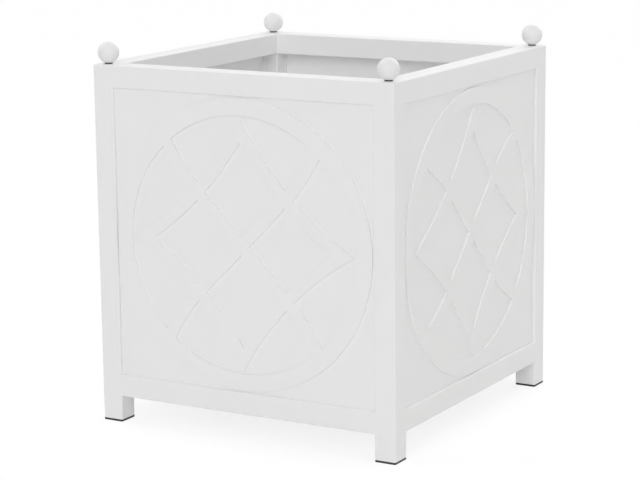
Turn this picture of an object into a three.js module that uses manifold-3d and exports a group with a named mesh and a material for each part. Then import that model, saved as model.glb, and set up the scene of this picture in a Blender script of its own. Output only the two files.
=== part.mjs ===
// A square planter tub on four corner posts: welded square tube, a tray-shaped sheet panel on
// each side with a round fretwork medallion, a ball finial on every post and a loose floor plate.
// Millimetres, +Z up. The origin is on the floor below the middle, and the front faces -Y.

import * as THREE from 'three';
import { mergeVertices } from 'three/addons/utils/BufferGeometryUtils.js';
import Module from 'manifold-3d';

// Frame of square tube
const planterWidth = 600; // over the posts, the same along X and Y
const frameHeight = 648; // from the floor to the top of the posts and top rails
const legHeight = 48; // from the floor to the underside of the bottom rails
const tubeSize = 40;
const tubeWall = 2;
const tubeCornerRadius = 2.5;
const leastInsideRadius = 0.5;
const weldGap = 0.3; // room for the weld between two pieces of the frame

// Post caps
const capThickness = 3;
const bossRadius = 9;
const bossLength = 15; // below the cap plate

// Ball finials
const ballRadius = 19;
const ballSeatRadius = 7; // the flat that the ball is turned to underneath
const ballBoreDepth = 20;
const washerRadius = 7;
const washerThickness = 2;
const studRadius = 4;
const studClearance = 0.3; // round the stud, and past each of its ends

// Foot glides
const glideThickness = 4;
const glideChamfer = 0.8;
const plugHeight = 18;
const plugWall = 2.5;
const plugClearance = 0.3;

// Side panels
const panelRecess = 5; // from the face of the frame to the face of the panel
const panelThickness = 1.5;
const panelDepth = 7; // over the folded edge
const panelClearance = 0.3;

// Fretwork medallions
const medallionThickness = 3.5;
const adhesiveGap = 0.3; // between the panel and the medallion
const medallionClearance = 3; // from the ring to the frame
const ringWidth = 30;
const bandWidth = 22;
const crossingShare = 0.553; // from the middle to an outer crossing, of the ring's inner radius
const cornerGap = 4.5; // from the lattice's pointed corners to the ring
const landingAngle = THREE.MathUtils.degToRad(49); // where the long bands meet the ring

// Floor
const ledgeLeg = 20;
const ledgeThickness = 2;
const ledgeDrop = 8; // from the top of the bottom rails down to the ledges
const bearerSize = 20;
const bearerWall = 1.5;
const bearerSpacing = 173;
const floorThickness = 2;
const floorClearance = 2; // between the plate's edge and the walls
const floorCornerRadius = 6;
const floorSeatGap = 0.3;
const drainRadius = 6;
const drainSpacing = 120;
const drainsPerRow = 4;

// Facets
const cornerSegments = 2;
const holeSegments = 6;
const ringSegments = 36;
const bandSegments = 7;
const ballSegments = 24;
const ballArcSegments = 12;
const cutterReach = 1; // how far a cutting solid runs past the face that it cuts

// Finishes
const whiteCoat = { color: 0xedeeee, roughness: 0.45, metalness: 0 };
const blackPlastic = { color: 0x202122, roughness: 0.6, metalness: 0 };
const zincSteel = { color: 0xa9abad, roughness: 0.4, metalness: 1 };

// Worked out from the sizes above
const outerFace = planterWidth / 2;
const postCentre = outerFace - tubeSize / 2;
const cavityHalf = outerFace - tubeSize;
const openingWidth = 2 * cavityHalf;
const bottomRailTop = legHeight + tubeSize;
const topRailUnderside = frameHeight - tubeSize;
const openingHeight = topRailUnderside - bottomRailTop;
const openingMiddle = (topRailUnderside + bottomRailTop) / 2;
const boreRadius = studRadius + studClearance;
const ledgeTop = bottomRailTop - ledgeDrop;

const quarterTurn = Math.PI / 2;
const sideNames = ['front', 'right', 'back', 'left'];
const corners = [
  { name: 'front_left', x: -postCentre, y: -postCentre },
  { name: 'front_right', x: postCentre, y: -postCentre },
  { name: 'back_right', x: postCentre, y: postCentre },
  { name: 'back_left', x: -postCentre, y: postCentre },
];

// Joining and cutting closed meshes

const manifoldLibrary = await Module();
manifoldLibrary.setup();

function solidOf(geometry) {
  const bare = geometry.clone();
  bare.deleteAttribute('normal');
  bare.deleteAttribute('uv');
  const merged = mergeVertices(bare);
  const corner = merged.index.array;
  const triangles = [];
  for (let i = 0; i < corner.length; i += 3) {
    const [a, b, c] = [corner[i], corner[i + 1], corner[i + 2]];
    if (a !== b && b !== c && c !== a) triangles.push(a, b, c);
  }
  const mesh = new manifoldLibrary.Mesh({
    numProp: 3,
    vertProperties: new Float32Array(merged.attributes.position.array),
    triVerts: new Uint32Array(triangles),
  });
  return new manifoldLibrary.Manifold(mesh);
}

function geometryOf(solid) {
  const mesh = solid.getMesh();
  const geometry = new THREE.BufferGeometry();
  geometry.setAttribute('position', new THREE.BufferAttribute(mesh.vertProperties, 3));
  geometry.setIndex(new THREE.BufferAttribute(mesh.triVerts, 1));
  geometry.computeVertexNormals();
  return geometry;
}

function join(first, ...others) {
  const whole = others.reduce((sum, next) => sum.add(solidOf(next)), solidOf(first));
  return geometryOf(whole);
}

function cut(first, ...others) {
  const rest = others.reduce((sum, next) => sum.subtract(solidOf(next)), solidOf(first));
  return geometryOf(rest);
}

// Outlines and plain solids

function roundedSquare(size, radius) {
  const inset = size / 2 - radius;
  const outline = new THREE.Shape();
  outline.absarc(inset, -inset, radius, -quarterTurn, 0);
  outline.absarc(inset, inset, radius, 0, quarterTurn);
  outline.absarc(-inset, inset, radius, quarterTurn, 2 * quarterTurn);
  outline.absarc(-inset, -inset, radius, 2 * quarterTurn, 3 * quarterTurn);
  outline.closePath();
  return outline;
}

function circle(x, y, radius) {
  return new THREE.Shape().absarc(x, y, radius, 0, 4 * quarterTurn);
}

function oval(halfWidth, halfHeight) {
  return new THREE.Shape().absellipse(0, 0, halfWidth, halfHeight, 0, 4 * quarterTurn);
}

function arcPoints(x, y, radius, start, end, clockwise) {
  const curve = new THREE.EllipseCurve(x, y, radius, radius, start, end, clockwise);
  return curve.getPoints(bandSegments);
}

function extrude(outline, height, curveSegments) {
  const settings = { depth: height, bevelEnabled: false, curveSegments };
  return new THREE.ExtrudeGeometry(outline, settings);
}

// A solid that runs past both faces of what it cuts.
function cutter(outline, thickness, reach, curveSegments) {
  return extrude(outline, thickness + 2 * reach, curveSegments).translate(0, 0, -reach);
}

function squareTube(size, wall, radius, length) {
  const outline = roundedSquare(size, radius);
  const insideRadius = Math.max(radius - wall, leastInsideRadius);
  outline.holes.push(roundedSquare(size - 2 * wall, insideRadius));
  return extrude(outline, length, cornerSegments);
}

function roundTube(outerRadius, innerRadius, length) {
  const outline = circle(0, 0, outerRadius);
  outline.holes.push(circle(0, 0, innerRadius));
  return extrude(outline, length, holeSegments);
}

function piece(name, geometry, finish, x, y, z) {
  const mesh = new THREE.Mesh(geometry, new THREE.MeshStandardMaterial(finish));
  mesh.name = name;
  mesh.position.set(x, y, z);
  return mesh;
}

// What stands at each corner, from the floor up

function footGlide() {
  const padSettings = {
    depth: glideThickness - 2 * glideChamfer,
    bevelEnabled: true,
    bevelThickness: glideChamfer,
    bevelSize: glideChamfer,
    bevelOffset: -glideChamfer,
    bevelSegments: 1,
    curveSegments: cornerSegments,
  };
  const pad = new THREE.ExtrudeGeometry(roundedSquare(tubeSize, tubeCornerRadius), padSettings);
  pad.translate(0, 0, glideChamfer);
  const plugSize = tubeSize - 2 * (tubeWall + plugClearance);
  const padMiddle = glideThickness / 2;
  const plug = squareTube(plugSize, plugWall, plugWall, plugHeight + padMiddle);
  plug.translate(0, 0, padMiddle);
  return join(pad, plug);
}

function cornerPost() {
  const length = frameHeight - capThickness - glideThickness;
  return squareTube(tubeSize, tubeWall, tubeCornerRadius, length);
}

function postCap() {
  const outline = roundedSquare(tubeSize, tubeCornerRadius);
  outline.holes.push(circle(0, 0, boreRadius));
  const plate = extrude(outline, capThickness, holeSegments);
  const boss = roundTube(bossRadius, boreRadius, bossLength + capThickness / 2);
  boss.translate(0, 0, -bossLength);
  return join(plate, boss);
}

function finialBall() {
  const centreHeight = Math.sqrt(ballRadius ** 2 - ballSeatRadius ** 2);
  const seatAngle = -Math.acos(ballSeatRadius / ballRadius);
  const surface = new THREE.EllipseCurve(
    0, centreHeight, ballRadius, ballRadius, seatAngle, quarterTurn);
  const profile = [
    new THREE.Vector2(0, ballBoreDepth),
    new THREE.Vector2(boreRadius, ballBoreDepth),
    new THREE.Vector2(boreRadius, 0),
    ...surface.getPoints(ballArcSegments),
  ];
  profile[profile.length - 1].x = 0;
  return new THREE.LatheGeometry(profile, ballSegments).rotateX(quarterTurn);
}

function finialStud() {
  const below = bossLength + capThickness - studClearance;
  const above = washerThickness + ballBoreDepth - studClearance;
  const stud = extrude(circle(0, 0, studRadius), below + above, holeSegments);
  return stud.translate(0, 0, -below);
}

function cornerPieces({ name, x, y }) {
  const seat = frameHeight + washerThickness;
  const washer = roundTube(washerRadius, boreRadius, washerThickness);
  const group = new THREE.Group();
  group.position.set(x, y, 0);
  group.add(
    piece(`foot_glide_${name}`, footGlide(), blackPlastic, 0, 0, 0),
    piece(`corner_post_${name}`, cornerPost(), whiteCoat, 0, 0, glideThickness),
    piece(`post_cap_${name}`, postCap(), whiteCoat, 0, 0, frameHeight - capThickness),
    piece(`finial_washer_${name}`, washer, blackPlastic, 0, 0, frameHeight),
    piece(`finial_stud_${name}`, finialStud(), zincSteel, 0, 0, frameHeight),
    piece(`finial_ball_${name}`, finialBall(), whiteCoat, 0, 0, seat),
  );
  return group;
}

// The fretwork medallion, drawn flat round its middle. It is round where the opening is square,
// and its height follows the opening's height.

// The lattice's curved diamond: four arcs that bow towards the middle, mitred at its corners.
function latticeDiamond(ringInside) {
  const corner = ringInside - cornerGap;
  const halfChord = corner / Math.SQRT2;
  const nearest = crossingShare * ringInside + bandWidth / 2;
  const bow = halfChord - nearest;
  const outerRadius = (halfChord ** 2 + bow ** 2) / (2 * bow);
  const centre = (nearest + outerRadius) / Math.SQRT2;
  const outline = new THREE.Shape(diamondPoints(outerRadius, centre));
  outline.holes.push(new THREE.Path(diamondPoints(outerRadius + bandWidth, centre)));
  return outline;
}

function diamondPoints(radius, centre) {
  const halfSpan = quarterTurn / 2 - Math.acos(centre / radius);
  const origin = new THREE.Vector2(0, 0);
  const points = [];
  for (let quarter = 0; quarter < sideNames.length; quarter += 1) {
    const middle = 2.5 * quarterTurn;
    const arc = arcPoints(centre, centre, radius, middle + halfSpan, middle - halfSpan, true);
    arc.pop();
    points.push(...arc.map((point) => point.rotateAround(origin, quarter * quarterTurn)));
  }
  return points;
}

// A long band: straight through the middle along one diagonal, then bending to the ring.
function latticeBand(ringInside, mirrored) {
  const straight = crossingShare * ringInside;
  const sideways = ringInside * Math.sin(landingAngle - quarterTurn / 2);
  const onwards = ringInside * Math.cos(landingAngle - quarterTurn / 2) - straight;
  const bend = (onwards ** 2 + sideways ** 2) / (2 * sideways);
  const turn = 2 * Math.atan(sideways / onwards) + ringWidth / 2 / bend;
  const outside = bend + bandWidth / 2;
  const inside = bend - bandWidth / 2;
  const points = [
    ...arcPoints(straight, bend, outside, -quarterTurn, turn - quarterTurn, false),
    ...arcPoints(straight, bend, inside, turn - quarterTurn, -quarterTurn, true),
    ...arcPoints(-straight, -bend, outside, quarterTurn, turn + quarterTurn, false),
    ...arcPoints(-straight, -bend, inside, turn + quarterTurn, quarterTurn, true),
  ];
  const origin = new THREE.Vector2(0, 0);
  points.forEach((point) => point.rotateAround(origin, quarterTurn / 2));
  if (mirrored) points.forEach((point) => point.setX(-point.x));
  return new THREE.Shape(points);
}

function fretworkMedallion(patternTurn) {
  const halfWidth = openingWidth / 2 - medallionClearance;
  const halfHeight = openingHeight / 2 - medallionClearance;
  const insideWidth = halfWidth - ringWidth;
  const insideHeight = halfHeight - ringWidth;
  const plate = extrude(oval(halfWidth, halfHeight), medallionThickness, ringSegments);
  const insideOutline = oval(insideWidth, insideHeight);
  const inside = cutter(insideOutline, medallionThickness, cutterReach, ringSegments);
  const lattice = [
    latticeDiamond(insideWidth),
    latticeBand(insideWidth, false),
    latticeBand(insideWidth, true),
  ].map((outline) => {
    const flat = cutter(outline, medallionThickness, 2 * cutterReach).rotateZ(patternTurn);
    return flat.scale(1, insideHeight / insideWidth, 1);
  });
  const windows = cut(inside, ...lattice);
  return cut(plate, windows);
}

// What each side holds, drawn as the front side

function rail() {
  const length = openingWidth - 2 * weldGap;
  const tube = squareTube(tubeSize, tubeWall, tubeCornerRadius, length);
  return tube.translate(0, 0, -length / 2).rotateY(quarterTurn);
}

function sidePanel() {
  const width = openingWidth - 2 * panelClearance;
  const height = openingHeight - 2 * panelClearance;
  const outside = new THREE.BoxGeometry(width, panelDepth, height);
  outside.translate(0, panelDepth / 2, 0);
  const hollow = new THREE.BoxGeometry(
    width - 2 * panelThickness, panelDepth, height - 2 * panelThickness);
  hollow.translate(0, panelDepth / 2 + panelThickness, 0);
  return cut(outside, hollow);
}

function floorLedge() {
  const length = openingWidth - 2 * (ledgeLeg + 2 * weldGap);
  const section = new THREE.Shape();
  section.moveTo(0, 0);
  section.lineTo(ledgeLeg, 0);
  section.lineTo(ledgeLeg, -ledgeThickness);
  section.lineTo(ledgeThickness, -ledgeThickness);
  section.lineTo(ledgeThickness, -ledgeLeg);
  section.lineTo(0, -ledgeLeg);
  section.closePath();
  const angle = extrude(section, length).translate(0, 0, -length / 2);
  return angle.rotateX(quarterTurn).rotateZ(quarterTurn);
}

function sidePieces(name, index) {
  const railY = -postCentre;
  const patternTurn = (index % 2) * quarterTurn; // turned by a quarter on the right and left
  const medallion = fretworkMedallion(patternTurn).rotateX(quarterTurn);
  const panelY = -outerFace + panelRecess;
  const medallionY = panelY - adhesiveGap;
  const ledgeY = -cavityHalf + weldGap;
  const topRailZ = frameHeight - tubeSize / 2;
  const bottomRailZ = legHeight + tubeSize / 2;
  const group = new THREE.Group();
  group.rotation.z = index * quarterTurn;
  group.add(
    piece(`top_rail_${name}`, rail(), whiteCoat, 0, railY, topRailZ),
    piece(`bottom_rail_${name}`, rail(), whiteCoat, 0, railY, bottomRailZ),
    piece(`side_panel_${name}`, sidePanel(), whiteCoat, 0, panelY, openingMiddle),
    piece(`fretwork_medallion_${name}`, medallion, whiteCoat, 0, medallionY, openingMiddle),
    piece(`floor_ledge_${name}`, floorLedge(), whiteCoat, 0, ledgeY, ledgeTop),
  );
  return group;
}

// The floor

function floorBearer() {
  const end = cavityHalf - 2 * weldGap - ledgeThickness;
  const tube = squareTube(bearerSize, bearerWall, bearerWall, 2 * end);
  tube.translate(0, 0, -end).rotateX(quarterTurn).translate(0, 0, -bearerSize / 2);
  const notchLength = ledgeLeg - ledgeThickness;
  const notchDepth = ledgeThickness + weldGap;
  const notches = [-1, 1].map((side) => {
    const notch = new THREE.BoxGeometry(2 * bearerSize, 2 * notchLength, 2 * notchDepth);
    return notch.translate(0, side * end, 0);
  });
  return cut(tube, ...notches);
}

function floorPlate() {
  const outline = roundedSquare(openingWidth - 2 * floorClearance, floorCornerRadius);
  const firstDrain = (-(drainsPerRow - 1) * drainSpacing) / 2;
  for (let row = 0; row < drainsPerRow; row += 1) {
    for (let column = 0; column < drainsPerRow; column += 1) {
      const x = firstDrain + column * drainSpacing;
      const y = firstDrain + row * drainSpacing;
      outline.holes.push(circle(x, y, drainRadius));
    }
  }
  return extrude(outline, floorThickness, holeSegments);
}

const planter = new THREE.Group();
corners.forEach((corner) => planter.add(cornerPieces(corner)));
sideNames.forEach((name, index) => planter.add(sidePieces(name, index)));
planter.add(
  piece('floor_bearer_left', floorBearer(), whiteCoat, -bearerSpacing / 2, 0, ledgeTop),
  piece('floor_bearer_right', floorBearer(), whiteCoat, bearerSpacing / 2, 0, ledgeTop),
  piece('floor_plate', floorPlate(), whiteCoat, 0, 0, ledgeTop + floorSeatGap),
);

export default planter;
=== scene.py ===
import math
from itertools import product

import bmesh
import bpy
from mathutils import Matrix, Vector
from mathutils.geometry import delaunay_2d_cdt


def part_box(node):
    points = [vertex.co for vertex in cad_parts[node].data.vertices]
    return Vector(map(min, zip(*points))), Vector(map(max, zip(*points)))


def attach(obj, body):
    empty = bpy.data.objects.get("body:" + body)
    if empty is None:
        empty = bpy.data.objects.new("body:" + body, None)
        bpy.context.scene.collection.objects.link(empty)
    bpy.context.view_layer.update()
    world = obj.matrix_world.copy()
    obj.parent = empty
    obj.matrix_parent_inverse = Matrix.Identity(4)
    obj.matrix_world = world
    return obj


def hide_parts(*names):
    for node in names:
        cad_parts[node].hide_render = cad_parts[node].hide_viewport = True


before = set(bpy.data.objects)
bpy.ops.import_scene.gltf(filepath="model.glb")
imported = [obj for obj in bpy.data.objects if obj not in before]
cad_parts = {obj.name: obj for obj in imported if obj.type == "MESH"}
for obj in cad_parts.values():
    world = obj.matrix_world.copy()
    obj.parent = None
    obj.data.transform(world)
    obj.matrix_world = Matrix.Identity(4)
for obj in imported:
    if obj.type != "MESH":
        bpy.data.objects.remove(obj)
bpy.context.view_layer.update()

sideNames = ["front", "right", "back", "left"]
cornerNames = ["front_left", "front_right", "back_right", "back_left"]
quarterTurn = math.pi / 2
sharpAngle = math.radians(38)  # edges that turn more than this are drawn sharp
hair = 1e-6  # closer than this counts as the same place


# Materials: every one reads object coordinates, so its grain is in real metres

noiseSpan = (0.3, 0.7)  # nearly all of a noise texture's values lie in here
noiseDetail = {"drift": 3.0, "peel": 1.0, "grain": 2.0}


def startMaterial(name, metallic=0.0):
    material = bpy.data.materials.new(name)
    material.use_nodes = True
    shader = material.node_tree.nodes["Principled BSDF"]
    shader.inputs["Metallic"].default_value = metallic
    return material, shader


def addNode(material, kind, **inputs):
    node = material.node_tree.nodes.new(kind)
    for label, value in inputs.items():
        node.inputs[label].default_value = value
    return node


def noiseOf(material, size, detail, stretch=(1.0, 1.0, 1.0), shift=0.0):
    place = addNode(material, "ShaderNodeTexCoord")
    spread = addNode(material, "ShaderNodeMapping", Scale=stretch, Location=(shift,) * 3)
    noise = addNode(material, "ShaderNodeTexNoise", Scale=1 / size, Detail=detail)
    links = material.node_tree.links
    links.new(place.outputs["Object"], spread.inputs["Vector"])
    links.new(spread.outputs["Vector"], noise.inputs["Vector"])
    return noise.outputs["Fac"]


def rangeOf(material, source, low, high):
    node = addNode(material, "ShaderNodeMapRange")
    for label, value in zip(("From Min", "From Max", "To Min", "To Max"),
                            (*noiseSpan, low, high)):
        node.inputs[label].default_value = value
    material.node_tree.links.new(source, node.inputs["Value"])
    return node.outputs["Result"]


def blendOf(material, source, first, second):
    ramp = addNode(material, "ShaderNodeValToRGB")
    stops = ramp.color_ramp.elements
    stops[0].position, stops[1].position = noiseSpan
    stops[0].color, stops[1].color = (*first, 1), (*second, 1)
    material.node_tree.links.new(source, ramp.inputs["Fac"])
    return ramp.outputs["Color"]


def bumpOf(material, height, depth, under=None):
    bump = addNode(material, "ShaderNodeBump", Strength=1.0, Distance=depth)
    material.node_tree.links.new(height, bump.inputs["Height"])
    if under:
        material.node_tree.links.new(under, bump.inputs["Normal"])
    return bump.outputs["Normal"]


def grainyFinish(name, settings, shift):
    # a slow drift in tone, an orange peel in gloss and relief, and a fine dry grain over it
    material, shader = startMaterial(name)
    link = material.node_tree.links.new
    drift = noiseOf(material, settings["driftSize"], noiseDetail["drift"], shift=shift)
    peel = noiseOf(material, settings["peelSize"], noiseDetail["peel"], shift=shift)
    grain = noiseOf(material, settings["grainSize"], noiseDetail["grain"], shift=shift)
    link(blendOf(material, drift, settings["shade"], settings["color"]),
         shader.inputs["Base Color"])
    link(rangeOf(material, peel, *settings["roughness"]), shader.inputs["Roughness"])
    waves = bumpOf(material, peel, settings["peelDepth"])
    link(bumpOf(material, grain, settings["grainDepth"], under=waves), shader.inputs["Normal"])
    return material


coatLook = {
    "color": (0.900, 0.901, 0.901),
    "shade": (0.890, 0.891, 0.892),  # the thinner patches
    "roughness": (0.34, 0.50),
    "driftSize": 0.11,
    "peelSize": 0.0020,
    "peelDepth": 0.0001,
    "grainSize": 0.0006,
    "grainDepth": 0.00002,
}

# painted shade: the frame's white coat made a little darker for the balls, so the round balls come
# out dimmer
shadedBallCoatLook = {
    **coatLook,
    "color": (0.858, 0.861, 0.861),
    "shade": (0.846, 0.849, 0.850),
}

plasticLook = {
    "color": (0.022, 0.022, 0.024),
    "shade": (0.014, 0.014, 0.016),
    "roughness": (0.48, 0.62),
    "driftSize": 0.012,
    "peelSize": 0.0009,
    "peelDepth": 0.00004,
    "grainSize": 0.0003,
    "grainDepth": 0.000015,
}

# near-black finish for the thin washers under the balls, which makes a dark ring where each ball
# sits on its cap
darkWasherLook = {
    "color": (0.030, 0.030, 0.032),
    "shade": (0.018, 0.018, 0.020),
    "roughness": (0.72, 0.86),
    "driftSize": 0.005,
    "peelSize": 0.0006,
    "peelDepth": 0.00003,
    "grainSize": 0.0002,
    "grainDepth": 0.00002,
}

studLook = {
    "color": (0.52, 0.52, 0.53),
    "shade": (0.40, 0.40, 0.42),
    "roughness": (0.26, 0.42),
    "driftSize": 0.004,
    "streak": (1.0, 1.0, 0.04),  # drawn along the rod
    "streakSize": 0.0008,
    "streakDepth": 0.00002,
}


def drawnSteel(name, settings):
    material, shader = startMaterial(name, metallic=1.0)
    link = material.node_tree.links.new
    drift = noiseOf(material, settings["driftSize"], noiseDetail["drift"])
    streak = noiseOf(material, settings["streakSize"], noiseDetail["grain"],
                     stretch=settings["streak"])
    link(blendOf(material, drift, settings["shade"], settings["color"]),
         shader.inputs["Base Color"])
    link(rangeOf(material, streak, *settings["roughness"]), shader.inputs["Roughness"])
    link(bumpOf(material, streak, settings["streakDepth"]), shader.inputs["Normal"])
    return material


frameCoat = grainyFinish("frame_powder_coat", coatLook, 0.0)
panelCoat = grainyFinish("panel_powder_coat", coatLook, 1.7)
fretworkCoat = grainyFinish("fretwork_powder_coat", coatLook, 3.1)
# the balls' coat carries painted shade: the frame's white made darker
shadedFinialCoat = grainyFinish("finial_coat_painted_shade", shadedBallCoatLook, 5.3)
glidePlastic = grainyFinish("glide_plastic", plasticLook, 0.4)
darkWasherFinish = grainyFinish("washer_rubber", darkWasherLook, 0.9)
studSteel = drawnSteel("stud_steel", studLook)
floorCoat = grainyFinish("floor_powder_coat", coatLook, 7.9)
print("materials made")


# Mesh helpers

def meshFrom(shape, name):
    bmesh.ops.recalc_face_normals(shape, faces=shape.faces)
    for face in shape.faces:
        face.smooth = True
    for edge in shape.edges:
        edge.smooth = edge.is_manifold and edge.calc_face_angle() < sharpAngle
    mesh = bpy.data.meshes.new(name)
    shape.to_mesh(mesh)
    shape.free()
    return mesh


def addPiece(name, mesh, material, nodes, body="planter_box"):
    mesh.materials.append(material)
    piece = bpy.data.objects.new(name, mesh)
    bpy.context.scene.collection.objects.link(piece)
    normals = piece.modifiers.new("flat_faces_first", "WEIGHTED_NORMAL")
    normals.keep_sharp = True
    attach(piece, body)
    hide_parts(*nodes)


def loft(shape, rings, closed=False):
    # a skin over rings of equally many points; its ends are capped unless it closes on itself
    loops = [[shape.verts.new(point) for point in ring] for ring in rings]
    pairs = list(zip(loops, loops[1:]))
    if closed:
        pairs.append((loops[-1], loops[0]))
    for lower, upper in pairs:
        for i in range(len(lower)):
            j = (i + 1) % len(lower)
            shape.faces.new((lower[i], lower[j], upper[j], upper[i]))
    if not closed:
        shape.faces.new(loops[0])
        shape.faces.new(loops[-1])


def arcPoints(x, y, radius, start, end, steps):
    turns = [start + (end - start) * i / steps for i in range(steps + 1)]
    return [Vector((x + radius * math.cos(t), y + radius * math.sin(t))) for t in turns]


def circlePoints(x, y, radius, steps):
    return arcPoints(x, y, radius, 0, 4 * quarterTurn, steps)[:-1]


def roundedSquare(half, radius, steps):
    inset = half - radius
    points = []
    for i, (sx, sy) in enumerate([(1, 1), (-1, 1), (-1, -1), (1, -1)]):
        start = i * quarterTurn
        points += arcPoints(sx * inset, sy * inset, radius, start, start + quarterTurn, steps)
    return points


def turnedMesh(name, middle, profile, steps, closed=False):
    # a profile of radii and heights, turned about the upright line through the middle
    rings = [[(p.x, p.y, height) for p in circlePoints(middle.x, middle.y, radius, steps)]
             for radius, height in profile]
    shape = bmesh.new()
    loft(shape, rings, closed)
    return meshFrom(shape, name)


def middleOf(node):
    low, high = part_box(node)
    return (Vector(low) + Vector(high)) / 2


def sizeOf(node):
    low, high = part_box(node)
    return Vector(high) - Vector(low)


# The welded frame: posts and rails in one skin, ground flush where they meet

frameLook = {
    "edgeRadius": 0.0025,
    "edgeSteps": 4,
    "tubeWall": 0.002,
    "socketDepth": 0.030,  # the open foot of a post, where the glide plugs in
}


def frameGrid():
    # the planes that the tubes' faces lie in, and the cells between them that hold tube
    post = [Vector(corner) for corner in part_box("corner_post_front_left")]
    lowRail = [Vector(corner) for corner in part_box("bottom_rail_front")]
    highRail = [Vector(corner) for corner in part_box("top_rail_front")]
    across = [post[0].x, post[1].x, -post[1].x, -post[0].x]
    heights = [post[0].z, lowRail[0].z, lowRail[1].z, highRail[0].z, highRail[1].z]
    cells = set()
    for i, j, k in product(range(3), range(3), range(4)):
        isPost = i != 1 and j != 1
        isRail = k in (1, 3) and (i != 1 or j != 1)
        if isPost or isRail:
            cells.add((i, j, k))
    return (across, across, heights), cells


def skinOfCells(planes, cells):
    # every face between a cell of tube and an empty one, with the corners shared
    shape = bmesh.new()
    corners = {}

    def cornerAt(place):
        if place not in corners:
            corners[place] = shape.verts.new([plane[i] for plane, i in zip(planes, place)])
        return corners[place]

    for cell, axis, side in product(sorted(cells), range(3), (0, 1)):
        beyond = list(cell)
        beyond[axis] += 2 * side - 1
        if tuple(beyond) in cells:
            continue
        u, v = [other for other in range(3) if other != axis]
        loop = []
        for du, dv in ((0, 0), (1, 0), (1, 1), (0, 1)):
            place = list(cell)
            place[axis] += side
            place[u] += du
            place[v] += dv
            loop.append(cornerAt(tuple(place)))
        shape.faces.new(loop)
    bmesh.ops.recalc_face_normals(shape, faces=shape.faces)
    return shape


def openFeet(shape, sole):
    ends = [face for face in shape.faces if all(vert.co.z < sole for vert in face.verts)]
    for end in ends:
        bmesh.ops.inset_individual(shape, faces=[end], thickness=frameLook["tubeWall"])
        raised = bmesh.ops.extrude_discrete_faces(shape, faces=[end])["faces"]
        for vert in raised[0].verts:
            vert.co.z += frameLook["socketDepth"]


def weldedFrame():
    planes, cells = frameGrid()
    shape = skinOfCells(planes, cells)
    sole = planes[2][0] + hair
    edges = [edge for edge in shape.edges if edge.calc_face_angle() > quarterTurn / 2
             and not all(vert.co.z < sole for vert in edge.verts)]
    bmesh.ops.bevel(shape, geom=edges, offset=frameLook["edgeRadius"], profile=0.5,
                    segments=frameLook["edgeSteps"], affect="EDGES", clamp_overlap=False)
    openFeet(shape, sole)
    return meshFrom(shape, "welded_frame")


frameNodes = [f"{part}_{name}" for part in ("corner_post", "post_cap") for name in cornerNames]
frameNodes += [f"{part}_{name}" for part in ("top_rail", "bottom_rail") for name in sideNames]
addPiece("welded_frame", weldedFrame(), frameCoat, frameNodes)
print("frame made")


# What stands at each corner: the glide below, the washer and ball above

glideLook = {
    "padHeight": 0.004,
    "padEdge": 0.0008,
    "padCorner": 0.0025,
    "plugHalf": 0.0177,
    "plugWall": 0.0025,
    "plugCorner": 0.002,
    "plugTip": 0.0005,  # how much slimmer the plug ends, to start it in the tube
    "wellCorner": 0.001,
    "ribDepth": 0.0005,
    "ribCount": 4,
    "ribShape": ((0.3, 0), (0.5, 1), (0.95, 0)),  # share of the rib's height, share of its depth
    "cornerSteps": 5,
    "edgeSteps": 4,
    "topEdgeSteps": 2,
}


def footGlide(middle, low, high, half):
    look = glideLook
    rings = []

    def ring(size, radius, height):
        points = roundedSquare(size, radius, look["cornerSteps"])
        rings.append([(p.x + middle.x, p.y + middle.y, height) for p in points])

    edge, radius = look["padEdge"], look["padCorner"]
    for i in range(look["edgeSteps"] + 1):
        turn = quarterTurn * i / look["edgeSteps"]
        inset = edge * (1 - math.sin(turn))
        ring(half - inset, radius - inset, low + edge * (1 - math.cos(turn)))
    padTop, topEdge = low + look["padHeight"], edge / 2
    for i in range(look["topEdgeSteps"] + 1):
        turn = quarterTurn * i / look["topEdgeSteps"]
        inset = topEdge * (1 - math.cos(turn))
        ring(half - inset, radius - inset, padTop - topEdge * (1 - math.sin(turn)))

    core, corner = look["plugHalf"] - look["ribDepth"], look["plugCorner"]
    rise = (high - padTop) / look["ribCount"]
    ring(core, corner, padTop)
    for i in range(look["ribCount"]):
        for share, out in look["ribShape"]:
            ring(core + out * look["ribDepth"], corner, padTop + (i + share) * rise)
    ring(core - look["plugTip"], corner, high)
    well = look["plugHalf"] - look["plugWall"]
    ring(well, look["wellCorner"], high)
    ring(well, look["wellCorner"], low + look["padHeight"] / 2)
    shape = bmesh.new()
    loft(shape, rings)
    return meshFrom(shape, "foot_glide")


washerLook = {"edge": 0.0004, "edgeSteps": 4, "bore": 0.0043, "steps": 64}


def neckWasher(middle, low, high, radius):
    edge, bore, steps = washerLook["edge"], washerLook["bore"], washerLook["edgeSteps"]
    turns = [quarterTurn * i / steps for i in range(steps + 1)]
    profile = [(bore, low)]
    profile += [(radius - edge + edge * math.sin(t), low + edge * (1 - math.cos(t))) for t in turns]
    wall, top = radius - edge, high - edge
    profile += [(wall + edge * math.cos(t), top + edge * math.sin(t)) for t in turns]
    profile.append((bore, high))
    return turnedMesh("neck_washer", middle, profile, washerLook["steps"], closed=True)


ballLook = {"seatRadius": 0.007, "bore": 0.0043, "boreDepth": 0.020, "steps": 96, "arcSteps": 48}


def finialBall(middle, low, radius):
    seat, bore, steps = ballLook["seatRadius"], ballLook["bore"], ballLook["arcSteps"]
    centre = low + math.sqrt(radius ** 2 - seat ** 2)
    start = -math.acos(seat / radius)
    profile = [(bore, low + ballLook["boreDepth"]), (bore, low)]
    for i in range(steps):
        turn = start + (quarterTurn - start) * i / steps
        profile.append((radius * math.cos(turn), centre + radius * math.sin(turn)))
    return turnedMesh("finial_ball", middle, profile, ballLook["steps"])


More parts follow.
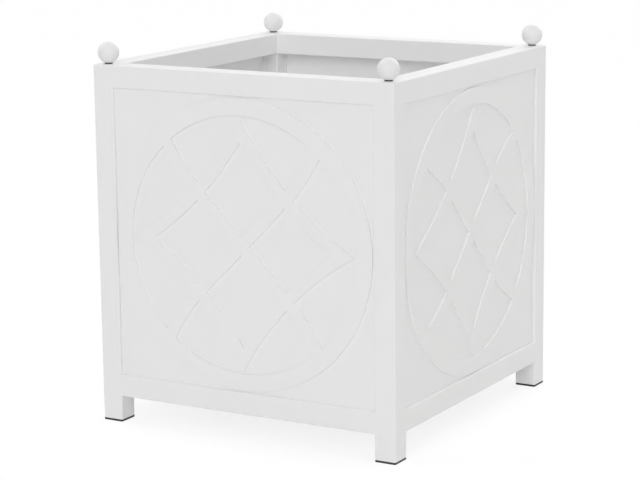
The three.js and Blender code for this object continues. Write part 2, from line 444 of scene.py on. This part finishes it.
for name in cornerNames:
    node = f"foot_glide_{name}"
    low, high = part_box(node)
    mesh = footGlide(middleOf(node), low[2], high[2], sizeOf(node).x / 2)
    addPiece(f"moulded_glide_{name}", mesh, glidePlastic, [node])
    node = f"finial_washer_{name}"
    low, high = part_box(node)
    mesh = neckWasher(middleOf(node), low[2], high[2], sizeOf(node).x / 2)
    addPiece(f"neck_washer_{name}", mesh, darkWasherFinish, [node])
    node = f"finial_ball_{name}"
    low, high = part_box(node)
    mesh = finialBall(middleOf(node), low[2], sizeOf(node).x / 2)
    addPiece(f"turned_ball_{name}", mesh, shadedFinialCoat, [node])
print("glides, washers and balls made")


# Each side is drawn as the front one and turned about the middle

def turnTo(mesh, index):
    mesh.transform(Matrix.Rotation(index * quarterTurn, 4, "Z"))
    return mesh


panelLook = {
    "sheet": 0.0015,
    "seam": 0.0003,  # the coat closes the seam above and below, not the one beside the posts
    "bendRadius": 0.0003,
    "innerBend": 0.0002,
    "cutEdge": 0.0002,
    "bendSteps": 3,
}


def foldedPanel():
    low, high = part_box("side_panel_front")
    seam, sheet, cut = panelLook["seam"], panelLook["sheet"], panelLook["cutEdge"]
    bend, inner, steps = panelLook["bendRadius"], panelLook["innerBend"], panelLook["bendSteps"]
    left, right, base, top = low[0], high[0], low[2] - seam, high[2] + seam
    depth = high[1] - low[1]
    turns = [quarterTurn * i / steps for i in range(steps + 1)]
    # each point is how far in from the tray's edge, and how far behind its face
    profile = [(bend * (1 - math.sin(t)), bend * (1 - math.cos(t))) for t in turns]
    profile += [(0, depth - cut), (cut, depth), (sheet - cut, depth), (sheet, depth - cut)]
    profile += [(sheet + inner * (1 - math.cos(t)), sheet + inner * (1 - math.sin(t)))
                for t in turns]
    rings = [[(left + i, low[1] + d, base + i), (right - i, low[1] + d, base + i),
              (right - i, low[1] + d, top - i), (left + i, low[1] + d, top - i)]
             for i, d in profile]
    shape = bmesh.new()
    loft(shape, rings)
    return meshFrom(shape, "folded_panel")


medallionLook = {
    "ringWidth": 0.030,
    "bandWidth": 0.022,
    "crossingShare": 0.553,
    "cornerGap": 0.0045,
    "landingAngle": math.radians(49),
    "edgeRadius": 0.0005,
    "ringSteps": 240,
    "arcSteps": 40,
}


def diamondPoints(radius, centre):
    # four arcs that bow inwards, one in each quarter, and meet in points on the axes
    halfSpan = quarterTurn / 2 - math.acos(centre / radius)
    inwards = 2.5 * quarterTurn  # from the arc's centre back to the middle of the ring
    arc = arcPoints(centre, centre, radius, inwards + halfSpan, inwards - halfSpan,
                    medallionLook["arcSteps"])[:-1]
    return [Matrix.Rotation(i * quarterTurn, 2) @ point for i in range(4) for point in arc]


def diamondOutlines(ringInside):
    # the bow runs through the points near the ring and the outer edge of each crossing
    nearest = medallionLook["crossingShare"] * ringInside + medallionLook["bandWidth"] / 2
    halfChord = (ringInside - medallionLook["cornerGap"]) / math.sqrt(2)
    bow = halfChord - nearest
    radius = (halfChord ** 2 + bow ** 2) / (2 * bow)
    centre = (nearest + radius) / math.sqrt(2)
    return diamondPoints(radius, centre), diamondPoints(radius + medallionLook["bandWidth"], centre)


def bandOutline(ringInside, mirrored):
    # straight across the middle, then a bend at either end, on into the ring
    slant = medallionLook["landingAngle"] - quarterTurn / 2
    straight = medallionLook["crossingShare"] * ringInside
    sideways = ringInside * math.sin(slant)
    onwards = ringInside * math.cos(slant) - straight
    bend = (onwards ** 2 + sideways ** 2) / (2 * sideways)
    turn = 2 * math.atan(sideways / onwards) + medallionLook["ringWidth"] / 2 / bend
    outside = bend + medallionLook["bandWidth"] / 2
    inside = bend - medallionLook["bandWidth"] / 2
    steps = medallionLook["arcSteps"]
    points = arcPoints(straight, bend, outside, -quarterTurn, turn - quarterTurn, steps)
    points += arcPoints(straight, bend, inside, turn - quarterTurn, -quarterTurn, steps)
    points += arcPoints(-straight, -bend, outside, quarterTurn, turn + quarterTurn, steps)
    points += arcPoints(-straight, -bend, inside, turn + quarterTurn, quarterTurn, steps)
    points = [Matrix.Rotation(quarterTurn / 2, 2) @ point for point in points]
    return [Vector((-point.x, point.y)) for point in points] if mirrored else points


def medallionLoops(ringOutside):
    # ring, diamond and bands joined into one plate: the loops are its rims
    ringInside = ringOutside - medallionLook["ringWidth"]
    outlines = [circlePoints(0, 0, ringOutside, medallionLook["ringSteps"]),
                circlePoints(0, 0, ringInside, medallionLook["ringSteps"]),
                *diamondOutlines(ringInside),
                bandOutline(ringInside, False), bandOutline(ringInside, True)]
    points, faces = [], []
    for outline in outlines:
        area = sum(a.cross(b) for a, b in zip(outline, outline[1:] + outline[:1]))
        faces.append(range(len(points), len(points) + len(outline)))
        points += outline if area > 0 else outline[::-1]
    spots, _, triangles, _, _, owners = delaunay_2d_cdt(points, [], faces, 1, hair / 10, True)

    def isMetal(inside):
        ring = 0 in inside and 1 not in inside
        diamond = 2 in inside and 3 not in inside
        return ring or diamond or 4 in inside or 5 in inside

    sides = set()
    for triangle, inside in zip(triangles, owners):
        if isMetal(inside):
            sides.update(zip(triangle, triangle[1:] + triangle[:1]))
    rim = {a: b for a, b in sorted(sides) if (b, a) not in sides}
    loops = []
    while rim:
        spot, following = rim.popitem()
        loop = [spot]
        while following != loop[0]:
            loop.append(following)
            following = rim.pop(following)
        loops.append([spots[i] for i in loop])
    return loops


def plateMesh(name, loops, thickness, edgeRadius):
    # a flat plate with holes, its rims rounded, lying in XY with its middle at the origin
    outline = bpy.data.curves.new(name, "CURVE")
    outline.dimensions = "2D"
    outline.fill_mode = "BOTH"
    outline.extrude = thickness / 2 - edgeRadius
    outline.bevel_depth = edgeRadius
    outline.bevel_resolution = 2
    outline.offset = -edgeRadius
    for loop in loops:
        spline = outline.splines.new("POLY")
        spline.points.add(len(loop) - 1)
        for spot, point in zip(spline.points, loop):
            spot.co = (point[0], point[1], 0, 1)
        spline.use_cyclic_u = True
    holder = bpy.data.objects.new(name, outline)
    raw = bpy.data.meshes.new_from_object(holder)
    bpy.data.objects.remove(holder)
    bpy.data.curves.remove(outline)
    shape = bmesh.new()
    shape.from_mesh(raw)
    bpy.data.meshes.remove(raw)
    bmesh.ops.remove_doubles(shape, verts=shape.verts, dist=hair)
    return meshFrom(shape, name)


def fretwork(loops, index):
    low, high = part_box("fretwork_medallion_front")
    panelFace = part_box("side_panel_front")[0][1]
    mesh = plateMesh("fretwork", loops, panelFace - low[1], medallionLook["edgeRadius"])
    if index % 2:  # left and right have the pattern turned by a quarter
        mesh.transform(Matrix.Rotation(quarterTurn, 4, "Z"))
    mesh.transform(Matrix.Rotation(quarterTurn, 4, "X"))  # upright, facing the front
    height = middleOf("fretwork_medallion_front").z
    mesh.transform(Matrix.Translation((0, (low[1] + panelFace) / 2, height)))
    return turnTo(mesh, index)


ringLoops = medallionLoops(sizeOf("fretwork_medallion_front").x / 2)
for index, name in enumerate(sideNames):
    mesh = turnTo(foldedPanel(), index)
    addPiece(f"folded_panel_{name}", mesh, panelCoat, [f"side_panel_{name}"])
    mesh = fretwork(ringLoops, index)
    addPiece(f"fretwork_{name}", mesh, fretworkCoat,
             [f"fretwork_medallion_{name}"])
print("panels and fretwork made")


# The floor plate, which lifts out

floorLook = {
    "cornerRadius": 0.006,
    "edgeRadius": 0.0003,
    "drainRadius": 0.006,
    "drainSpacing": 0.120,
    "drainsPerRow": 4,
    "cornerSteps": 10,
    "drainSteps": 40,
}


def floorPlate():
    look, size = floorLook, sizeOf("floor_plate")
    loops = [roundedSquare(size.x / 2, look["cornerRadius"], look["cornerSteps"])]
    first = -(look["drainsPerRow"] - 1) * look["drainSpacing"] / 2
    rows = [first + i * look["drainSpacing"] for i in range(look["drainsPerRow"])]
    for y, x in product(rows, rows):
        loops.append(circlePoints(x, y, look["drainRadius"], look["drainSteps"]))
    mesh = plateMesh("floor", loops, size.z, look["edgeRadius"])
    mesh.transform(Matrix.Translation((0, 0, middleOf("floor_plate").z)))
    return mesh


addPiece("drained_floor", floorPlate(), floorCoat, ["floor_plate"],
         "lift_out_floor")
print("floor made")


# CAD pieces that stay, with a finish of their own

def coatNode(node, material):
    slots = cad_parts[node].data.materials
    slots.clear()
    slots.append(material)


for name in sideNames:
    coatNode(f"floor_ledge_{name}", frameCoat)
for name in ("left", "right"):
    coatNode(f"floor_bearer_{name}", frameCoat)
for name in cornerNames:
    coatNode(f"finial_stud_{name}", studSteel)
print("carried-over pieces finished")


# Studio: white paper under a weak even sky, a softbox overhead and soft lamps all round

studioLook = {
    "paper": (0.955, 0.956, 0.957),
    "paperDrift": 0.002,  # how much its tone wanders
    "driftSize": 0.9,
    "driftDetail": 1.0,
    "seenPaper": (0.31, 0.31, 0.31),  # the camera sees white paper with a weaker shadow
    "seenGlow": (0.76, 0.76, 0.76),
    "paperHalf": 40.0,
    "skyLevel": 0.15,
}

softboxLook = {
    "height": 2.5,
    "size": 2.0,
    "power": 6.1,  # watts
}

lampLook = {
    "angle": math.radians(50),  # how wide each lamp looks, which softens its shadows
    "lamps": {  # azimuth from the front towards the right, elevation, level, colour
        "key_lamp": (20, 30, 1.08, (1, 1, 1)),
        "front_lamp": (0, 10, 0.30, (1, 1, 1)),
        "right_lamp": (90, 10, 0.48, (1, 0.975, 0.955)),
        "left_lamp": (-90, 45, 0.80, (1, 1, 1)),
        "back_right_lamp": (135, 45, 0.43, (1, 0.99, 0.98)),
        "back_lamp": (180, 30, 0.70, (1, 1, 1)),
    },
}


def seenDirectly(tree):
    # 1 for what the camera sees, directly or in a mirroring surface, and 0 for scattered light
    path = tree.nodes.new("ShaderNodeLightPath")
    seen = path.outputs["Is Camera Ray"]
    for label in ("Is Glossy Ray", "Is Transmission Ray"):
        either = tree.nodes.new("ShaderNodeMath")
        either.operation = "MAXIMUM"
        tree.links.new(seen, either.inputs[0])
        tree.links.new(path.outputs[label], either.inputs[1])
        seen = either.outputs["Value"]
    return seen


def studioPaper():
    half = studioLook["paperHalf"]
    shape = bmesh.new()
    shape.faces.new([shape.verts.new((x, y, 0)) for x, y in
                     ((-half, -half), (half, -half), (half, half), (-half, half))])
    mesh = meshFrom(shape, "studio_paper")
    material, shader = startMaterial("studio_paper")
    tree = material.node_tree
    tone = noiseOf(material, studioLook["driftSize"], studioLook["driftDetail"])
    paper = studioLook["paper"]
    brighter = [level + studioLook["paperDrift"] for level in paper]
    tree.links.new(blendOf(material, tone, paper, brighter), shader.inputs["Base Color"])
    shader.inputs["Roughness"].default_value = 1.0
    shader.inputs["Specular IOR Level"].default_value = 0.0
    shade = addNode(material, "ShaderNodeBsdfDiffuse", Color=(*studioLook["seenPaper"], 1))
    glow = addNode(material, "ShaderNodeEmission", Color=(*studioLook["seenGlow"], 1))
    both = addNode(material, "ShaderNodeAddShader")
    mix = addNode(material, "ShaderNodeMixShader")
    tree.links.new(shade.outputs["BSDF"], both.inputs[0])
    tree.links.new(glow.outputs["Emission"], both.inputs[1])
    tree.links.new(seenDirectly(tree), mix.inputs["Fac"])
    tree.links.new(shader.outputs["BSDF"], mix.inputs[1])
    tree.links.new(both.outputs["Shader"], mix.inputs[2])
    tree.links.new(mix.outputs["Shader"], tree.nodes["Material Output"].inputs["Surface"])
    mesh.materials.append(material)
    sheet = bpy.data.objects.new("studio_paper", mesh)
    bpy.context.scene.collection.objects.link(sheet)


def studioSky():
    world = bpy.data.worlds.new("studio")
    bpy.context.scene.world = world
    world.use_nodes = True
    tree = world.node_tree
    tree.nodes.clear()
    sky = tree.nodes.new("ShaderNodeBackground")
    sky.inputs["Color"].default_value = (1, 1, 1, 1)
    sky.inputs["Strength"].default_value = studioLook["skyLevel"]
    backdrop = tree.nodes.new("ShaderNodeBackground")
    backdrop.inputs["Color"].default_value = (1, 1, 1, 1)
    mix = tree.nodes.new("ShaderNodeMixShader")
    tree.links.new(seenDirectly(tree), mix.inputs["Fac"])
    tree.links.new(sky.outputs["Background"], mix.inputs[1])
    tree.links.new(backdrop.outputs["Background"], mix.inputs[2])
    output = tree.nodes.new("ShaderNodeOutputWorld")
    tree.links.new(mix.outputs["Shader"], output.inputs["Surface"])


def addLamp(name, lamp, place, comesFrom):
    holder = bpy.data.objects.new(name, lamp)
    holder.location = place
    holder.rotation_mode = "QUATERNION"
    holder.rotation_quaternion = Vector(comesFrom).to_track_quat("Z", "Y")
    bpy.context.scene.collection.objects.link(holder)
    return holder


def studioLamps():
    softbox = bpy.data.lights.new("softbox", "AREA")
    softbox.size = softboxLook["size"]
    softbox.energy = softboxLook["power"]
    holder = addLamp("softbox", softbox, (0, 0, softboxLook["height"]), (0, 0, 1))
    holder.visible_camera = holder.visible_glossy = False
    for name, (azimuth, elevation, level, color) in lampLook["lamps"].items():
        lamp = bpy.data.lights.new(name, "SUN")
        lamp.energy = level
        lamp.angle = lampLook["angle"]
        lamp.color = color
        azimuth, elevation = math.radians(azimuth), math.radians(elevation)
        addLamp(name, lamp, (0, 0, 0),
                (math.sin(azimuth) * math.cos(elevation),
                 -math.cos(azimuth) * math.cos(elevation), math.sin(elevation)))


cameraLook = {
    "place": (1.9826, -3.4381, 1.1161),
    "azimuth": math.radians(-30.175),  # from straight ahead, to the right
    "elevation": math.radians(11.547),  # how far it looks down
    "roll": math.radians(-0.68),
    "focalPixels": 2202.3,
    "framePixels": 640,  # the frame's width
    "sensorWidth": 36.0,  # millimetres
    "farEnd": 200.0,
}


def studioCamera():
    azimuth, elevation = cameraLook["azimuth"], cameraLook["elevation"]
    ahead = Vector((math.sin(azimuth) * math.cos(elevation),
                    math.cos(azimuth) * math.cos(elevation), -math.sin(elevation)))
    right = Vector((math.cos(azimuth), -math.sin(azimuth), 0))
    up = right.cross(ahead)
    roll = cameraLook["roll"]
    rolledRight = right * math.cos(roll) + up * math.sin(roll)
    rolledUp = up * math.cos(roll) - right * math.sin(roll)
    turn = Matrix((rolledRight, rolledUp, -ahead)).transposed()
    lens = bpy.data.cameras.new("camera")
    lens.sensor_width = cameraLook["sensorWidth"]
    lens.lens = cameraLook["focalPixels"] / cameraLook["framePixels"] * cameraLook["sensorWidth"]
    lens.clip_end = cameraLook["farEnd"]
    camera = bpy.data.objects.new("camera", lens)
    camera.matrix_world = Matrix.Translation(cameraLook["place"]) @ turn.to_4x4()
    bpy.context.scene.collection.objects.link(camera)
    bpy.context.scene.camera = camera


studioPaper()
studioSky()
studioLamps()
studioCamera()
bpy.context.scene.view_settings.view_transform = "Standard"
bpy.context.scene.cycles.diffuse_bounces = 12  # light passes many times between the white walls
print("studio made")
